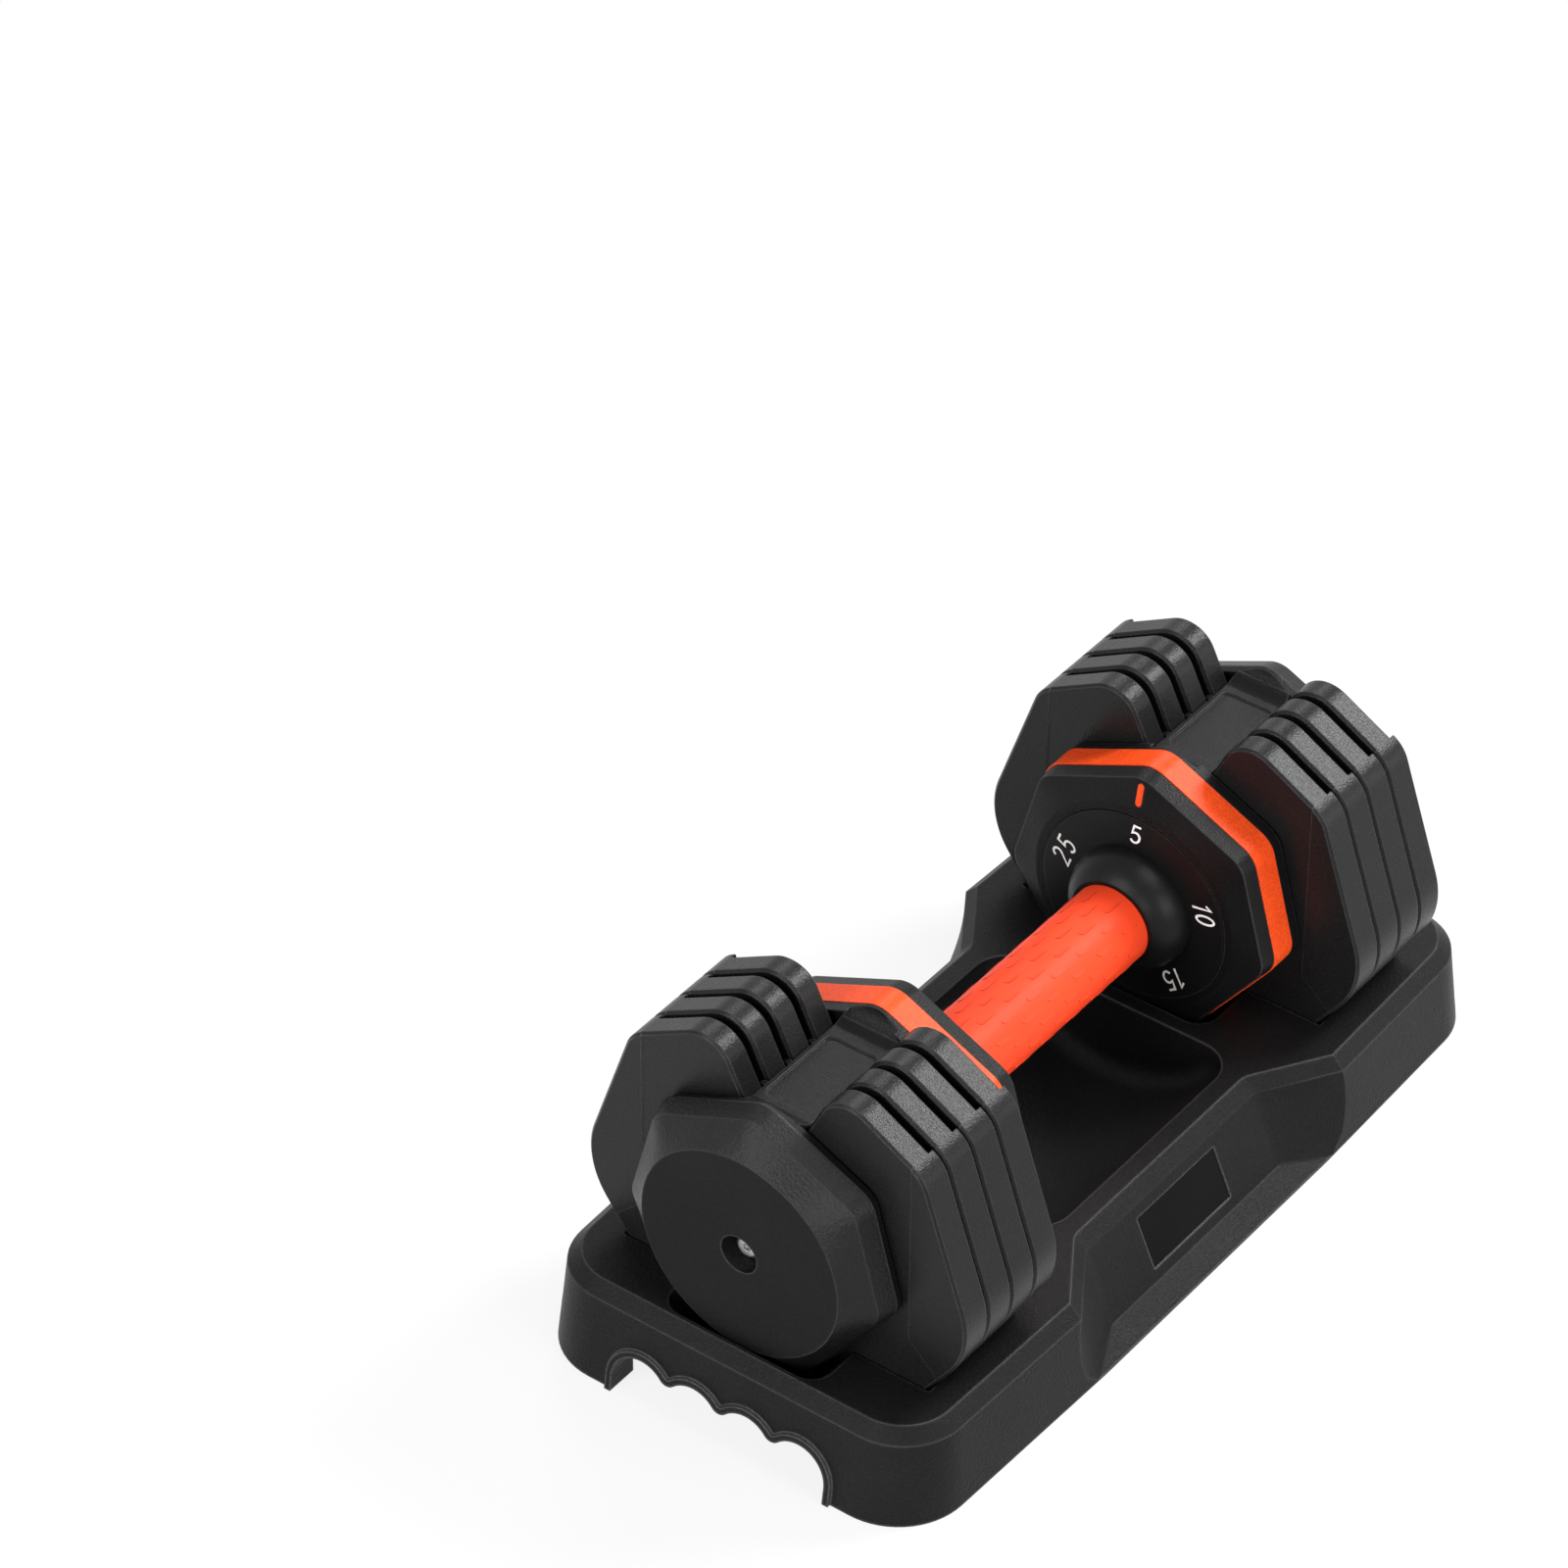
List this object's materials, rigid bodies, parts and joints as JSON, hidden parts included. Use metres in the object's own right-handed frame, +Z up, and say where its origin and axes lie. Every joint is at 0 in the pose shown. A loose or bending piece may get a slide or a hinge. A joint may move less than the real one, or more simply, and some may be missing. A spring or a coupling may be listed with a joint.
{
  "type": "adjustable dumbbell",
  "caption": "Adjustable dumbbell docked in its storage tray: its turning grip slides selectors through slotted plates, and the handle lifts out with the plates chosen.",
  "frame": {"origin": "on the floor under the middle of the tray", "axes": "+X along the handle, +Z up, -Y towards the long side that the picture shows"},
  "size_m": [0.3636, 0.1748, 0.1485],
  "materials": {
    "tray_plastic": "fine leather grain, satin",
    "plate_plastic": "fine stipple, satin",
    "plate_steel": "cut edge",
    "head_plastic": "fine stipple, satin",
    "dial_plastic": "smooth, satin",
    "bridge_metal": "black powder coat",
    "band_plastic": "smooth",
    "index_plastic": "smooth",
    "grip_rubber": "soft, with raised marks",
    "selector_chrome": "polished",
    "guide_plastic": "plain moulding",
    "hardware_steel": "zinc plated"
  },
  "bodies": {
    "tray": {"tray_shell": "tray_plastic", "unlock_posts": "tray_plastic"},
    "plates_4": {"plate_4_jacket_left": "plate_plastic", "plate_4_core_left": "plate_steel", "plate_4_jacket_right": "plate_plastic", "plate_4_core_right": "plate_steel"},
    "plates_3": {"plate_3_jacket_left": "plate_plastic", "plate_3_core_left": "plate_steel", "plate_3_jacket_right": "plate_plastic", "plate_3_core_right": "plate_steel"},
    "plates_2": {"plate_2_jacket_left": "plate_plastic", "plate_2_core_left": "plate_steel", "plate_2_jacket_right": "plate_plastic", "plate_2_core_right": "plate_steel"},
    "plates_1": {"plate_1_jacket_left": "plate_plastic", "plate_1_core_left": "plate_steel", "plate_1_jacket_right": "plate_plastic", "plate_1_core_right": "plate_steel"},
    "handle": {"front_cover_left": "head_plastic", "front_cover_right": "head_plastic", "index_mark_left": "index_plastic", "index_mark_right": "index_plastic", "head_band_left": "band_plastic", "head_band_right": "band_plastic", "rear_cover_left": "head_plastic", "rear_cover_right": "head_plastic", "head_screws_left": "hardware_steel", "head_screws_right": "hardware_steel", "guide_bush_left": "guide_plastic", "guide_bush_right": "guide_plastic", "lock_spring_left": "hardware_steel", "lock_spring_right": "hardware_steel", "bridge_left": "bridge_metal", "bridge_right": "bridge_metal", "cap_plate_left": "bridge_metal", "cap_plate_right": "bridge_metal", "outer_cap_left": "head_plastic", "outer_cap_right": "head_plastic", "end_washer_left": "hardware_steel", "end_washer_right": "hardware_steel", "end_screw_left": "hardware_steel", "end_screw_right": "hardware_steel", "tie_rod": "hardware_steel"},
    "grip": {"grip_sleeve": "grip_rubber", "cam_tube": "hardware_steel", "dial_left": "dial_plastic", "dial_right": "dial_plastic", "dial_hub_left": "dial_plastic", "dial_hub_right": "dial_plastic", "lock_ring_left": "hardware_steel", "lock_ring_right": "hardware_steel"},
    "selector_left": {"selector_sleeve_left": "selector_chrome", "drive_pin_left": "hardware_steel"},
    "selector_right": {"selector_sleeve_right": "selector_chrome", "drive_pin_right": "hardware_steel"},
    "lock_left": {"lock_slider_left": "guide_plastic"},
    "lock_right": {"lock_slider_right": "guide_plastic"}
  },
  "joints": [
    {"name": "lift_at_25", "type": "slide", "parent": "tray", "child": "plates_4", "axis": [0, 0, 1], "range_m": [0, 0.15]},
    {"name": "lift_at_20", "type": "slide", "parent": "plates_4", "child": "plates_3", "axis": [0, 0, 1], "range_m": [0, 0.15]},
    {"name": "lift_at_15", "type": "slide", "parent": "plates_3", "child": "plates_2", "axis": [0, 0, 1], "range_m": [0, 0.15]},
    {"name": "lift_at_10", "type": "slide", "parent": "plates_2", "child": "plates_1", "axis": [0, 0, 1], "range_m": [0, 0.15]},
    {"name": "lift_at_5", "type": "slide", "parent": "plates_1", "child": "handle", "axis": [0, 0, 1], "range_m": [0, 0.15]},
    {"name": "grip_turn", "type": "hinge", "parent": "handle", "child": "grip", "pos_m": [0, 0, 0.08], "axis": [-1, 0, 0], "range_deg": [0, 288]},
    {"name": "selector_left_slide", "type": "slide", "parent": "handle", "child": "selector_left", "axis": [-1, 0, 0], "range_m": [0, 0.0545]},
    {"name": "selector_right_slide", "type": "slide", "parent": "handle", "child": "selector_right", "axis": [1, 0, 0], "range_m": [0, 0.0545]},
    {"name": "lock_left_slide", "type": "slide", "parent": "handle", "child": "lock_left", "axis": [0, 0, -1], "range_m": [0, 0.0055], "deforming": ["lock_spring_left"]},
    {"name": "lock_right_slide", "type": "slide", "parent": "handle", "child": "lock_right", "axis": [0, 0, -1], "range_m": [0, 0.0055], "deforming": ["lock_spring_right"]}
  ],
  "couplings": [
    {"joint": "selector_left_slide", "follows": "grip_turn", "m_per_rad": 0.010823},
    {"joint": "selector_right_slide", "follows": "grip_turn", "m_per_rad": 0.010823},
    {"joint": "lock_left_slide", "follows": "lift_at_5", "ratio": 0.036666},
    {"joint": "lock_right_slide", "follows": "lift_at_5", "ratio": 0.036666}
  ]
}
